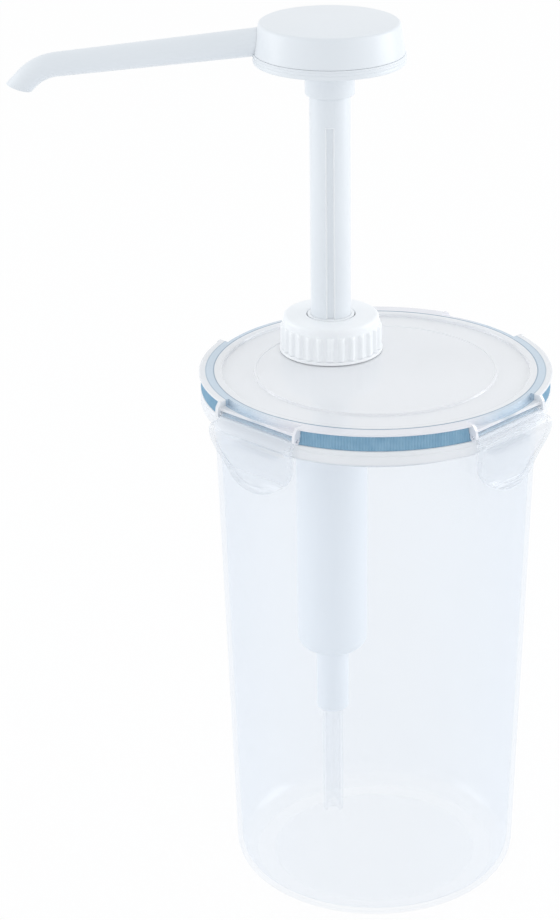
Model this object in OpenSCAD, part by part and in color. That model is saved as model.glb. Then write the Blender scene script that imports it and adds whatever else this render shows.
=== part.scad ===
// A syrup dispenser: a storage jar closed by a lid with four locking flaps, and a
// piston pump held in the lid by a screw collar. Millimetres, +Z up, the origin at
// the centre of the jar's foot, the flaps near the diagonals, the spout towards -X.

/* [Jar] */
// Height of the jar from its foot to its rim
jar_h = 199.1; // [180:0.1:215]
// Radius that the tapered wall would have at the foot
jar_foot_r = 54.1; // [52:0.1:54.6]
// Radius that the tapered wall would have at the rim
jar_top_r = 59.9; // [59.5:0.1:60]
// Thickness of the jar's wall
jar_wall = 1.8; // [1.6:0.1:2]
// Thickness of the jar's floor
floor_t = 2.4; // [2:0.1:3]
// Outside radius of the corner between wall and floor
corner_r = 8; // [7:0.5:10]
// Radius of the flange round the mouth
flange_r = 64.5; // [64:0.1:64.5]
// Height of that flange
flange_h = 5.5; // [5:0.1:5.8]

/* [Lid] */
// Radius of the lid's rim
rim_r = 65; // [64.9:0.1:65.5]
// Height of the rim's top above the jar's rim
rim_rise = 6.4; // [6.3:0.1:6.6]
// Thickness of the lid's panel
panel_t = 1.8; // [1.5:0.1:2]
// Radius of the raised disc in the middle of the lid
disc_r = 44; // [42:0.5:48]
// Depth of the wall that plugs into the jar's mouth
plug_h = 9; // [7:0.5:10]
// Distance from the jar's axis to the edge of the ledge over a flap
ledge_a = 62.6; // [62.5:0.1:62.7]
// Turn of the four flaps from the exact diagonals
flap_turn = 3; // [-5:0.5:5]

/* [Flaps] */
// Half the width of a locking flap, which is also the radius of its round end
flap_half_w = 19.4; // [18.5:0.1:19.5]
// Half the width of its hinge
hinge_half_w = 17.9; // [17:0.1:18]
// Distance from the hinge down to the middle of the flap's round end
flap_drop = 4.8; // [4:0.1:6]
// Thickness of a flap's plate
flap_t = 1.8; // [1.6:0.1:1.8]
// How far the plate bulges outwards just below its hinge
flap_bulge = 3; // [2.6:0.1:3.2]
// How far the lip at its lower end flares outwards
flap_flare = 1.9; // [1:0.1:2.5]

/* [Pump] */
// Distance of the pump's axis to the left of the jar's axis
pump_left = 16.6; // [14:0.1:18]
// Distance of the pump's axis behind the jar's axis
pump_back = 20.2; // [18:0.1:22]
// Outside radius of the pump's cylinder
cylinder_r = 13.65; // [13.4:0.05:13.8]
// Bore radius of the pump's cylinder
bore_r = 11.5; // [11.4:0.1:11.8]
// Height of the cylinder's shoulder above the foot
shoulder_z = 85.5; // [84:0.5:88]
// Outside radius of the inlet spigot under the cylinder
inlet_r = 6.35; // [6.2:0.05:6.8]
// Length of the inlet spigot
inlet_len = 27; // [20:1:30]
// Outside radius of the dip tube
dip_r = 4; // [3.8:0.1:4.2]
// Height of the dip tube's end above the foot
dip_end = 6; // [5:0.5:15]
// Outside radius of the stem
stem_r = 7.5; // [7.4:0.05:7.6]
// Travel of the plunger
stroke = 70; // [60:1:71]

/* [Collar] */
// Radius of the collar between its grip ribs
collar_r = 18; // [17.9:0.1:18.2]
// Height of the collar
collar_h = 13.8; // [13.7:0.1:15]
// Number of grip ribs round the collar
rib_count = 28; // [16:2:32]

/* [Head] */
// Radius of the head's lip, its widest place
head_r = 27.6; // [27:0.1:29]
// Height of the head's flat top above the foot
head_top = 329.5; // [327:0.5:332]
// Outside radius of the spout where it leaves the head
spout_root_r = 5.1; // [4.9:0.05:5.2]
// Outside radius of the spout at its tip
spout_tip_r = 4.35; // [4.3:0.05:4.6]
// Slope of the spout below the level
spout_slope = 6.5; // [5:0.5:8]
// Angle below the level of the turned-down tip
tip_slope = 46; // [40:1:55]

/* [Hidden] */

$fn = 96;
eps = 0.01;

// Colours
clear_pp = [0.86, 0.91, 0.96, 0.5];
white_pp = [0.93, 0.95, 0.97];
blue_silicone = [0.22, 0.47, 0.68];
steel = [0.75, 0.76, 0.78];

// Jar
wall_lean = (jar_top_r - jar_foot_r) / jar_h;
flange_z = jar_h - flange_h;
flange_flat_a = 61.6;
flange_line_z = flange_z + 3.6;
flange_line = 0.35;
foot_in_r = 38;
foot_recess = 0.8;
mouth_r = 58.2;
mouth_step_z = jar_h - plug_h - 2;

// Lid
rim_z = jar_h + rim_rise;
lip_t = 0.6;
lip_in_z = rim_z - lip_t;
panel_z = rim_z - 1.1;
disc_z = rim_z - 0.5;
panel_low = panel_z - panel_t;
rim_in_r = 56.6;
plug_in_r = 56;
plug_out_r = 57.6;
cut_wall_r = 61.2;
disc_ridge = 0.25;
ledge_z = rim_z - 2.3;
ledge_low = ledge_z - 1.1;
divider_w = 1.3;
divider_gap = 0.2;
gasket_in_r = plug_out_r + 0.25;
gasket_r = flange_r - 0.2;
gasket_z = jar_h + 0.1;

// Flap hinges
hinge_a = ledge_a + 0.2;
hinge_z = ledge_low - 1.1;
bead_r = flap_t / 2;
pin_r = 0.6;
pin_bore_r = 0.66;
divider_r = 1.4;
slot_half_w = hinge_half_w + divider_gap;
divider_out = slot_half_w + divider_w;
flap_tip = hinge_z - flap_drop - flap_half_w;
border_w = 2.2;
border_t = 0.5;

// Pump above the lid's panel
pump_at = [-pump_left, pump_back, 0];
neck_r = 16;
neck_in_r = 14.1;
neck_z = disc_z + 8;
washer_z = neck_z;
pump_flange_z = washer_z + 1.2;
pump_flange_r = 15.9;
bush_flange_z = pump_flange_z + 1.8;
collar_z = disc_z + disc_ridge + 0.1;
collar_top = collar_z + collar_h;
collar_roof = bush_flange_z + 1.15;
collar_hole_r = 9.1;
bush_boss_r = 8.8;

// Pump below the lid's panel
inlet_top = shoulder_z - 5.5;
inlet_z = inlet_top - inlet_len;
bore_floor = shoulder_z + 2.5;
cage_t = 1.6;
ball_room_r = 4.7;
inlet_ball_r = 4;
inlet_port_r = 2.6;
ball_lift = 3;

// Height of a ball's centre over the mouth of the port that it closes, on a seat
// that flares at 45 degrees.
function seated(ball_r, port_r) = ball_r * sqrt(2) - port_r + 0.05;

inlet_seat_z = bore_floor - seated(inlet_ball_r, inlet_port_r) - inlet_ball_r - ball_lift - 0.3;
dip_socket_top = inlet_seat_z - 1.6;

// Plunger at rest, at the top of its travel
spring_wire_r = 0.6;
spring_coils = 9;
spring_r = 9.2;
spring_low = bore_floor + cage_t;
seat_flange_z = spring_low + stroke + 12.4;
seat_flange_t = 3;
piston_z = seat_flange_z + seat_flange_t + 0.1;
piston_h = 12.4;
spigot_r = 5.6;
stem_low = piston_z + 0.1;
stem_shoulder = piston_z + piston_h + 0.1;
outlet_room_r = 4.3;
outlet_ball_r = 3.5;
outlet_port_r = 2;
outlet_seat_z = stem_low + 3.2;
outlet_room_top = outlet_seat_z + seated(outlet_ball_r, outlet_port_r) + outlet_ball_r + ball_lift + 0.2;
stem_bore_r = 3.3;
bush_low = piston_z + piston_h + 0.4;
bush_bore_r = stem_r + 0.08;
keyway_w = 2.8;
keyway_depth = 1.1;
keyway_top = 292;

// Head
head_low = head_top - 14.5;
skirt_z = head_top - 10.9;
lip_top = skirt_z - 0.1;
head_wall = 2.2;
base_floor = head_low + 1.8;
boss_r = 9.05;
boss_low = head_top - 26.4;
cap_top_r = head_r - 2;
cap_low_r = head_r - 0.45;
cap_roof = head_top - 2.2;
hub_r = 10;
hub_low = base_floor + 0.1;
seal_r = 0.65;
seal_z = hub_low + seal_r + 0.05;
stem_top = hub_low + 1.5;
stem_fit = 0.02;

// Spout, in the upright plane through the pump's axis. It runs level inside the
// head, slopes down from there to its knee, and is turned down after the knee.
spout_start = head_r - 4.5;
spout_z = head_top - 7.25;
first_bend_r = 30;
spout_knee = 104.3;
knee_to_tip = 10.7;
bend_r = 18;
bend_angle = tip_slope - spout_slope;
bend_tangent = bend_r * tan(bend_angle / 2);
first_tangent = first_bend_r * tan(spout_slope / 2);
straight_len = (spout_knee - spout_start - first_tangent) / cos(spout_slope) - first_tangent - bend_tangent;
tip_len = knee_to_tip - bend_tangent;
tip_cut = 25;
spout_wall = 1.4;
spout_lap = 0.4;
spout_step = 0.03;
spout_gap = 0.2;

function reversed(list) = [for (i = [len(list) - 1 : -1 : 0]) list[i]];

// Points of a circular arc about c from angle a0 to angle a1.
function arc(c, r, a0, a1, n = 8) =
    [for (i = [0 : n]) c + r * [cos(a0 + (a1 - a0) * i / n), sin(a0 + (a1 - a0) * i / n)]];

function wall_r(z) = jar_foot_r + wall_lean * z;

// Arc between a floor at height z and a wall whose radius at height 0 is r0.
function floor_corner(r0, z, r) =
    let (lean = atan(wall_lean),
         centre = [r0 + wall_lean * (z + r) - r / cos(lean), z + r])
    arc(centre, r, -90, -lean, 12);

// A smooth curve past the points c, from the first of them to the last.
function smooth(c, n = 5) =
    let (last = len(c) - 2)
    [for (i = [1 : last])
        let (a = i == 1 ? c[0] : (c[i - 1] + c[i]) / 2,
             b = i == last ? c[last + 1] : (c[i] + c[i + 1]) / 2)
        for (k = [(i == 1 ? 0 : 1) : n])
            let (t = k / n) (1 - t) * (1 - t) * a + 2 * t * (1 - t) * c[i] + t * t * b];

// The same line moved sideways by d, to the left of the way it runs.
function beside(line, d) =
    let (last = len(line) - 1)
    [for (i = [0 : last])
        let (way = line[min(i + 1, last)] - line[max(i - 1, 0)])
        line[i] + d / norm(way) * [-way[1], way[0]]];

module turned(points, fn = 180) {
    rotate_extrude($fn = fn) polygon(points);
}

module tube(inner, outer, low, high) {
    translate([0, 0, low]) difference() {
        cylinder(r = outer, h = high - low);
        translate([0, 0, -eps]) cylinder(r = inner, h = high - low + 2 * eps);
    }
}

// A profile of [distance from the jar's axis, height], extruded sideways.
module bar(points, half_w) {
    translate([0, half_w, 0])
        rotate([90, 0, 0])
            linear_extrude(height = 2 * half_w) polygon(points);
}

module block(low, high) {
    translate(low) cube(high - low);
}

// The four places of the flaps round the jar: front left, front right, back
// left and back right.
flap_angles = [for (a = [-135, -45, 135, 45]) a + flap_turn];

module at_flaps() {
    for (a = flap_angles) rotate([0, 0, a]) children();
}

module at_pump() {
    translate(pump_at) children();
}

module jar() {
    color(clear_pp) difference() {
        turned(concat(
            [[0, foot_recess], [foot_in_r, foot_recess], [foot_in_r + 1, 0]],
            floor_corner(jar_foot_r, 0, corner_r),
            [[wall_r(flange_z), flange_z], [flange_r - 0.4, flange_z], [flange_r, flange_z + 0.4],
             [flange_r, flange_line_z - flange_line], [flange_r - flange_line, flange_line_z],
             [flange_r, flange_line_z + flange_line]],
            arc([flange_r - 0.5, jar_h - 0.5], 0.5, 0, 90, 4),
            arc([mouth_r + 0.5, jar_h - 0.5], 0.5, 90, 180, 4),
            [[mouth_r, mouth_step_z], [wall_r(mouth_step_z - 2) - jar_wall, mouth_step_z - 2]],
            reversed(floor_corner(jar_foot_r - jar_wall, floor_t, corner_r - jar_wall)),
            [[0, floor_t]]
        ));
        at_flaps()
            block([flange_flat_a, -30, flange_z - eps], [flange_r + 2, 30, jar_h + 1]);
    }
}

module lid_turned() {
    turned(concat(
        [[0, panel_low], [plug_in_r - 1, panel_low], [plug_in_r, panel_low - 1],
         [plug_in_r, jar_h - plug_h + 0.4], [plug_in_r + 0.4, jar_h - plug_h],
         [plug_out_r - 0.6, jar_h - plug_h], [plug_out_r, jar_h - plug_h + 1],
         [plug_out_r, lip_in_z], [rim_r, lip_in_z]],
        arc([rim_r - 0.5, rim_z - 0.5], 0.5, 0, 90, 4),
        arc([rim_in_r + 0.6, rim_z - 0.6], 0.6, 90, 180, 4),
        [[rim_in_r, panel_z], [disc_r + 0.9, panel_z], [disc_r + 0.7, disc_z + disc_ridge],
         [disc_r + 0.1, disc_z + disc_ridge], [disc_r - 0.1, disc_z], [0, disc_z]]
    ));
}

// Ledge over one flap, with the two dividers that hold its hinge pins.
module ledge() {
    root = plug_out_r - 0.5;
    divider = concat(
        [[root, rim_z], [root, ledge_low], [hinge_a - divider_r, ledge_low]],
        arc([hinge_a, hinge_z], divider_r, 180, 360, 10),
        [[hinge_a + 1, rim_z - 1.8], [hinge_a - 0.4, rim_z]]
    );
    block([root, -divider_out, ledge_low], [ledge_a, divider_out, ledge_z]);
    for (side = [-1, 1])
        difference() {
            translate([0, side * (divider_out - divider_w / 2), 0]) bar(divider, divider_w / 2);
            translate([hinge_a, 0, hinge_z]) rotate([90, 0, 0])
                cylinder(r = pin_bore_r, h = 60, center = true, $fn = 32);
        }
}

module lid() {
    color(clear_pp) difference() {
        union() {
            difference() {
                lid_turned();
                at_flaps() difference() {
                    block([plug_out_r - 1, -slot_half_w, lip_in_z - 1], [rim_r + 2, slot_half_w, rim_z + 1]);
                    translate([0, 0, -1]) cylinder(r = cut_wall_r, h = rim_z + 3);
                }
            }
            intersection() {
                tube(plug_out_r - 0.2, cut_wall_r, ledge_z - eps, rim_z - 0.2);
                at_flaps() block([plug_out_r - 3, -slot_half_w - eps, 0], [rim_r, slot_half_w + eps, rim_z]);
            }
            difference() {
                at_flaps() ledge();
                translate([0, 0, jar_h - 2]) cylinder(r = plug_out_r - 0.3, h = 12);
            }
            at_pump() tube(neck_in_r, neck_r, panel_z - 0.5, neck_z);
        }
        at_pump() translate([0, 0, panel_low - 1]) cylinder(r = neck_in_r, h = 20);
    }
}

// The ring lies flat behind the flaps, and is cut away under their ledges.
module lid_gasket() {
    behind = flange_flat_a - 0.4;
    reach = divider_out + 0.15;
    ledge_cut_z = ledge_low - 0.1;
    color(blue_silicone) difference() {
        tube(gasket_in_r, gasket_r, gasket_z, lip_in_z);
        at_flaps() {
            block([behind, -30, gasket_z - 1], [rim_r + 2, 30, ledge_cut_z]);
            block([0, -reach, ledge_cut_z], [rim_r + 2, reach, rim_z]);
        }
    }
}

// Outline of a flap, as [sideways, height], drawn in by d from its edge. Its
// shoulders lie below the dividers that hold its pins.
function tongue(d) =
    let (shoulder = hinge_z - 2,
         side = concat([[hinge_half_w - d, hinge_z + 3], [hinge_half_w - d, shoulder]],
                       arc([0, hinge_z - flap_drop], flap_half_w - d, 7, -83, 15)))
    concat(side, reversed([for (p = side) [-p[0], p[1]]]));

module tongue_block(d, near, far) {
    translate([near, 0, 0]) rotate([90, 0, 90])
        linear_extrude(height = far - near) polygon(tongue(d));
}

// The plate's middle line from the hinge to past its tip, as [distance, height].
plate_line = smooth([
    [hinge_a, hinge_z], [hinge_a, hinge_z - 1.4],
    [hinge_a + flap_bulge + 0.5, hinge_z - 2.8], [hinge_a + flap_bulge + 0.1, hinge_z - 8],
    [hinge_a, hinge_z - 17], [hinge_a + 0.7 * flap_flare, flap_tip + 2.5],
    [hinge_a + flap_flare + 0.2, flap_tip - 1]
]);

// Bulged plate of a flap between two offsets from its middle line.
function plate(inner, outer) =
    concat(beside(plate_line, outer), reversed(beside(plate_line, inner)));

module flap_body() {
    hook_a = flange_flat_a - 1.3;
    hook_z = flange_z - 0.3;
    hook_t = 1.6;
    hook_out = hinge_a + flap_bulge - 0.3;
    hook_half_w = 10;
    intersection() {
        bar(plate(-flap_t / 2, flap_t / 2), flap_half_w);
        tongue_block(0, 50, 80);
    }
    intersection() {
        bar(plate(0, flap_t / 2 + border_t), flap_half_w);
        difference() {
            tongue_block(0.01, 50, 80);
            tongue_block(border_w, 49, 81);
            block([40, -40, hinge_z - 2.8], [90, 40, hinge_z + 10]);
        }
    }
    bar([[hook_a + 0.5, hook_z - hook_t], [hook_a, hook_z - hook_t + 0.5], [hook_a, hook_z - 0.2],
         [hook_a + 0.2, hook_z], [hook_out, hook_z], [hook_out, hook_z - hook_t]], hook_half_w);
    translate([hinge_a, 0, hinge_z]) rotate([90, 0, 0]) {
        cylinder(r = bead_r, h = 2 * hinge_half_w, center = true, $fn = 32);
        cylinder(r = pin_r, h = 2 * (divider_out - 0.1), center = true, $fn = 32);
    }
}

module flap(index) {
    color(clear_pp) rotate([0, 0, flap_angles[index]]) flap_body();
}

module flap_front_left() { flap(0); }
module flap_front_right() { flap(1); }
module flap_back_left() { flap(2); }
module flap_back_right() { flap(3); }

module pump_cylinder() {
    tip_chamfer = 0.6;
    color(white_pp) at_pump() turned(concat(
        [[dip_r + 0.02, dip_socket_top], [dip_r + 0.02, inlet_z], [inlet_r - tip_chamfer, inlet_z],
         [inlet_r, inlet_z + tip_chamfer], [inlet_r, inlet_top]],
        arc([cylinder_r - 5.5, shoulder_z], 5.5, -90, 0, 8),
        [[cylinder_r, pump_flange_z], [pump_flange_r, pump_flange_z], [pump_flange_r, bush_flange_z],
         [bore_r, bush_flange_z], [bore_r, bore_floor], [ball_room_r, bore_floor],
         [ball_room_r, inlet_seat_z + ball_room_r - inlet_port_r], [inlet_port_r, inlet_seat_z],
         [inlet_port_r, dip_socket_top]]
    ), 96);
}

module ball_cage() {
    port_at = 3.4;
    port_r = 1.3;
    guide_in_r = 5.6;
    guide_r = spring_r - spring_wire_r - 0.8;
    guide_h = 3;
    color(white_pp) at_pump() difference() {
        union() {
            translate([0, 0, bore_floor]) cylinder(r = bore_r - 0.1, h = cage_t);
            tube(guide_in_r, guide_r, bore_floor + cage_t - eps, bore_floor + cage_t + guide_h);
        }
        for (i = [0 : 3]) rotate([0, 0, 45 + 90 * i])
            translate([port_at, 0, bore_floor - 1]) cylinder(r = port_r, h = cage_t + 2, $fn = 32);
    }
}

module inlet_ball() {
    color(steel) at_pump()
        translate([0, 0, inlet_seat_z + seated(inlet_ball_r, inlet_port_r)])
            sphere(r = inlet_ball_r, $fn = 48);
}

// The notch in its end lets syrup in when the end stands on the jar's floor.
module dip_tube() {
    wall = 1.1;
    notch_r = 2.4;
    color(clear_pp) at_pump() difference() {
        tube(dip_r - wall, dip_r, dip_end, dip_socket_top - 0.1);
        translate([0, 0, dip_end]) rotate([90, 0, 0])
            cylinder(r = notch_r, h = 3 * dip_r, center = true, $fn = 48);
    }
}

// Closed tube of 6 sides swept along a helix with 8 rings to a coil.
module spring_wire(low, high, coils, coil_r, wire_r) {
    rings = coils * 8;
    sides = 6;
    rise = high - low;
    points = [for (i = [0 : rings]) let (turn = 45 * i, z = low + rise * i / rings)
              for (j = [0 : sides - 1]) let (a = 60 * j, r = coil_r + wire_r * cos(a))
              [r * cos(turn), r * sin(turn), z + wire_r * sin(a)]];
    walls = [for (i = [0 : rings - 1]) for (j = [0 : sides - 1])
             let (k = (j + 1) % sides, a = i * sides, b = a + sides)
             each [[a + j, b + j, a + k], [a + k, b + j, b + k]]];
    ends = [for (j = [1 : sides - 2]) each
            [[0, j, j + 1], [rings * sides, rings * sides + j + 1, rings * sides + j]]];
    polyhedron(points, concat(walls, ends));
}

spring_from = spring_low + spring_wire_r + 0.05;
spring_to = seat_flange_z - spring_wire_r - 0.05;

// Least gap between the spring's turns, measured between points a turn apart.
function spring_gap() =
    let (steps = 8 * spring_coils,
         at = [for (i = [0 : steps]) [spring_r * cos(45 * i), spring_r * sin(45 * i),
                                      spring_from + (spring_to - spring_from) * i / steps]])
    min([for (i = [0 : steps]) for (j = [i + 5 : 1 : steps]) norm(at[i] - at[j])]) - 2 * spring_wire_r;
echo(str("Least gap between the spring's turns: ", spring_gap(), " mm"));

module return_spring() {
    color(steel) at_pump()
        spring_wire(spring_from, spring_to, spring_coils, spring_r, spring_wire_r);
}

module neck_washer() {
    color(blue_silicone) at_pump() tube(neck_in_r, pump_flange_r, washer_z, pump_flange_z);
}

// The key at the bush's top runs in the stem's keyway and keeps the head from turning.
module guide_bush() {
    key_len = 12;
    play = 0.1;
    flange_t = 1;
    color(white_pp) at_pump() {
        difference() {
            union() {
                translate([0, 0, bush_low]) cylinder(r = bore_r - play, h = bush_flange_z - bush_low);
                translate([0, 0, bush_flange_z]) cylinder(r = pump_flange_r, h = flange_t);
                translate([0, 0, bush_flange_z]) cylinder(r = bush_boss_r, h = collar_top - bush_flange_z);
            }
            translate([0, 0, bush_low - 1]) cylinder(r = bush_bore_r, h = collar_top - bush_low + 2);
        }
        block([-keyway_w / 2 + play, -bush_bore_r - 0.4, collar_top - key_len],
              [keyway_w / 2 - play, -(stem_r - keyway_depth + play), collar_top]);
    }
}

module grip_ribs() {
    rib_r = 1.1;
    rib_low = collar_z + 0.9;
    rib_high = collar_z + 10.3;
    out = collar_r + 1;
    intersection() {
        translate([0, 0, rib_low]) linear_extrude(height = rib_high - rib_low)
            for (i = [0 : rib_count - 1]) rotate([0, 0, 360 / rib_count * i])
                translate([collar_r - 0.1, 0]) circle(r = rib_r, $fn = 16);
        turned(concat([[collar_r - 1.5, rib_low], [out, rib_low]],
                      arc([collar_r - 0.2, rib_high - 1.2], 1.2, 0, 90, 6),
                      [[collar_r - 1.5, rib_high]]), 96);
    }
}

module collar() {
    inner_r = neck_r + 0.3;
    color(white_pp) at_pump() difference() {
        union() {
            turned(concat(
                [[0, collar_z], [collar_r + 1.1, collar_z], [collar_r + 1.3, collar_z + 0.2],
                 [collar_r + 1.3, collar_z + 0.9], [collar_r + 0.1, collar_z + 1.1]],
                arc([collar_r + 0.1 - 2, collar_top - 2], 2, 0, 90, 8),
                [[0, collar_top]]
            ), 96);
            grip_ribs();
        }
        translate([0, 0, collar_z - 1]) cylinder(r = inner_r, h = collar_roof - collar_z + 1);
        cylinder(r = collar_hole_r, h = collar_top + 1);
    }
}

module stem() {
    color(white_pp) at_pump() difference() {
        union() {
            translate([0, 0, stem_low]) cylinder(r = spigot_r, h = stem_shoulder - stem_low + 1);
            translate([0, 0, stem_shoulder]) cylinder(r = stem_r, h = stem_top - stem_shoulder);
        }
        translate([0, 0, stem_low - 1]) cylinder(r = outlet_room_r, h = outlet_room_top - stem_low + 1);
        cylinder(r = stem_bore_r, h = stem_top + 1);
        block([-keyway_w / 2, -stem_r - 1, stem_shoulder + 12],
              [keyway_w / 2, -(stem_r - keyway_depth), keyway_top]);
    }
}

module piston() {
    lip_r = bore_r - 0.06;
    lip_h = 3.6;
    lip_w = 1;
    waist_r = bore_r - 1.2;
    hub_out_r = 8;
    in_r = spigot_r + stem_fit;
    low = piston_z;
    high = piston_z + piston_h;
    color(white_pp) at_pump() turned([
        [in_r, low], [hub_out_r - 0.4, low], [hub_out_r, low + lip_h - 0.6], [lip_r - lip_w, low],
        [lip_r, low + 0.2], [waist_r, low + lip_h], [waist_r, high - lip_h], [lip_r, high - 0.2],
        [lip_r - lip_w, high], [hub_out_r + 0.4, high - lip_h + 0.6], [hub_out_r + 0.2, high], [in_r, high]
    ], 96);
}

module outlet_valve_seat() {
    plug_r = outlet_room_r - stem_fit;
    guide_r = spring_r - spring_wire_r - 1;
    guide_h = 1.6;
    top = seat_flange_z + seat_flange_t;
    color(white_pp) at_pump() turned([
        [outlet_port_r, seat_flange_z - guide_h], [guide_r, seat_flange_z - guide_h],
        [guide_r, seat_flange_z], [spring_r + 0.8, seat_flange_z], [spring_r + 0.8, top],
        [plug_r, top], [plug_r, outlet_seat_z + plug_r - outlet_port_r],
        [outlet_port_r, outlet_seat_z]
    ], 96);
}

module outlet_ball() {
    color(steel) at_pump()
        translate([0, 0, outlet_seat_z + seated(outlet_ball_r, outlet_port_r)])
            sphere(r = outlet_ball_r, $fn = 48);
}

// A bend of the spout's tube, downwards from +Z. It starts at the origin, and laps
// back into the tube before it.
module bend(r, radius, angle) {
    early = spout_lap / radius * 180 / PI;
    translate([-radius, 0, 0]) rotate([90, 0, 0]) rotate([0, 0, -early])
        rotate_extrude(angle = angle + early, $fn = 160)
            translate([radius, 0]) circle(r = r, $fn = 64);
}

// Places its children at the end of such a bend, with +Z along the tube.
module after_bend(radius, angle) {
    translate([-radius, 0, 0]) rotate([0, -angle, 0]) translate([radius, 0, 0]) children();
}

// Places its children where the spout starts to slope, with +Z along it.
module at_slope() {
    translate([-spout_start, 0, spout_z]) rotate([0, -90, 0])
        after_bend(first_bend_r, spout_slope) children();
}

// Places its children where the turned-down tip starts, with +Z along the tip.
module at_tip() {
    at_slope() translate([0, 0, straight_len]) after_bend(bend_r, bend_angle) children();
}

// The spout's stretches inside the head: level, and then bent down to its slope.
module spout_root(r) {
    translate([0, 0, spout_z]) rotate([0, -90, 0]) {
        cylinder(r = r + 2 * spout_step, h = spout_start, $fn = 64);
        translate([0, 0, spout_start]) bend(r + spout_step, first_bend_r, spout_slope);
    }
}

// The spout's outer form, or its passage when less is the wall's thickness. Each
// stretch starts inside the one before it and is a little thinner than its end.
module spout_form(less, past) {
    root_r = spout_root_r - less;
    tip_r = spout_tip_r - less;
    spout_root(root_r);
    at_slope() {
        translate([0, 0, -spout_lap])
            cylinder(r1 = root_r, r2 = tip_r + 2 * spout_step, h = straight_len + spout_lap, $fn = 64);
        translate([0, 0, straight_len]) bend(tip_r + spout_step, bend_r, bend_angle);
    }
    at_tip() translate([0, 0, -spout_lap]) cylinder(r = tip_r, h = tip_len + past + spout_lap, $fn = 64);
}

// Room for the spout through the wall of the head.
module spout_room() {
    past_wall = 4;
    spout_root(spout_root_r + spout_gap);
    at_slope() translate([0, 0, -spout_lap])
        cylinder(r = spout_root_r + spout_gap, h = past_wall + spout_lap, $fn = 64);
}

module spout() {
    roof = cap_roof - 0.1;
    slant = spout_tip_r * tan(tip_cut);
    seal_room_r = stem_r + 2 * seal_r + stem_fit;
    color(white_pp) at_pump() difference() {
        union() {
            spout_form(0, slant);
            translate([0, 0, hub_low]) cylinder(r = hub_r, h = roof - hub_low);
        }
        spout_form(spout_wall, slant + 2);
        at_tip() translate([0, 0, tip_len]) rotate([0, -tip_cut, 0])
            translate([-10, -10, 0]) cube([20, 20, 10]);
        translate([0, 0, hub_low - 1]) cylinder(r = stem_r + stem_fit, h = stem_top + 1.1 - hub_low);
        translate([0, 0, hub_low - 1]) cylinder(r = seal_room_r, h = seal_z + seal_r + 1 - hub_low);
        cylinder(r = stem_bore_r, h = spout_z);
    }
}

module stem_seal() {
    color(blue_silicone) at_pump() translate([0, 0, seal_z])
        rotate_extrude() translate([stem_r + seal_r + 0.01, 0]) circle(r = seal_r - 0.01, $fn = 32);
}

// Base of the head: a boss on the stem, and a lip under the cap with two fine
// grooves. A spigot on the lip centres the cap.
module head_base() {
    groove = 0.35;
    spigot_r = cap_low_r - head_wall - 0.6;
    spigot_t = 1.4;
    spigot_top = lip_top + 2;
    color(white_pp) at_pump() difference() {
        turned(concat(
            [[stem_r + stem_fit, boss_low], [boss_r - 0.5, boss_low], [boss_r, boss_low + 0.5],
             [boss_r, head_low], [head_r - 0.5, head_low], [head_r, head_low + 0.5]],
            [for (z = [head_low + 1.6, head_low + 2.7]) each
                [[head_r, z - groove], [head_r - groove, z], [head_r, z + groove]]],
            [[head_r - 0.2, lip_top], [spigot_r, lip_top], [spigot_r, spigot_top],
             [spigot_r - spigot_t, spigot_top], [spigot_r - spigot_t, base_floor],
             [stem_r + stem_fit, base_floor]]
        ));
        spout_room();
    }
}

module head_cap() {
    color(white_pp) at_pump() difference() {
        turned(concat(
            [[0, cap_roof], [cap_top_r - head_wall - 1, cap_roof], [cap_top_r - head_wall, cap_roof - 1],
             [cap_low_r - head_wall, skirt_z], [cap_low_r - 0.2, skirt_z], [cap_low_r, skirt_z + 0.2]],
            arc([cap_top_r - 0.9, head_top - 0.9], 0.9, 12, 90, 6),
            [[0, head_top]]
        ));
        spout_room();
    }
}

jar();
lid();
lid_gasket();
flap_front_left();
flap_front_right();
flap_back_left();
flap_back_right();
pump_cylinder();
ball_cage();
inlet_ball();
dip_tube();
return_spring();
neck_washer();
guide_bush();
collar();
stem();
piston();
outlet_valve_seat();
outlet_ball();
head_base();
head_cap();
stem_seal();
spout();
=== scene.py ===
# %% [markdown]
# A syrup dispenser: a translucent jar, a clip-on lid with a blue seal, and a white piston pump.
# The model of the parts is made already, in millimetre-true solids, and comes in as a fixed frame.
# This lesson gives every part its finish, and rebuilds the parts whose fine detail the solids leave
# out. Each step first says what the real thing is like, and then how it is made here.

# %% Load the frame
from math import atan, atan2, cos, degrees, pi, radians, sin, sqrt

import bpy
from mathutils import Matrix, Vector


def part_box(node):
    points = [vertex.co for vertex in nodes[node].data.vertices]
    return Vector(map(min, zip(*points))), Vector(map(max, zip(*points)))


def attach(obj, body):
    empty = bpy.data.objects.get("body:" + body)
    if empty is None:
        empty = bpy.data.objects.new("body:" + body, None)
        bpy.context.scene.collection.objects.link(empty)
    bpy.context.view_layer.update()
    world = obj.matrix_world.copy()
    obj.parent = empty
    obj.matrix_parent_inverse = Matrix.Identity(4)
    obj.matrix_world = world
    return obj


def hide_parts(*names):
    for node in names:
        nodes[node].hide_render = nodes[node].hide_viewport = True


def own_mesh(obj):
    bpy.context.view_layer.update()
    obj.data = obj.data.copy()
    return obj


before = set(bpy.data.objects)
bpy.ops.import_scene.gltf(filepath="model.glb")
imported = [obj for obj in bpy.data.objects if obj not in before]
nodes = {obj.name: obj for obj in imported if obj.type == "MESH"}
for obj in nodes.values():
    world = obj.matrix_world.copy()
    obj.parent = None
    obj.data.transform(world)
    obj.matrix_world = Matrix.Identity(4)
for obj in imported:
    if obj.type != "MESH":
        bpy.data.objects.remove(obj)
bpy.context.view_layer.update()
MM = 0.001

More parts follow.
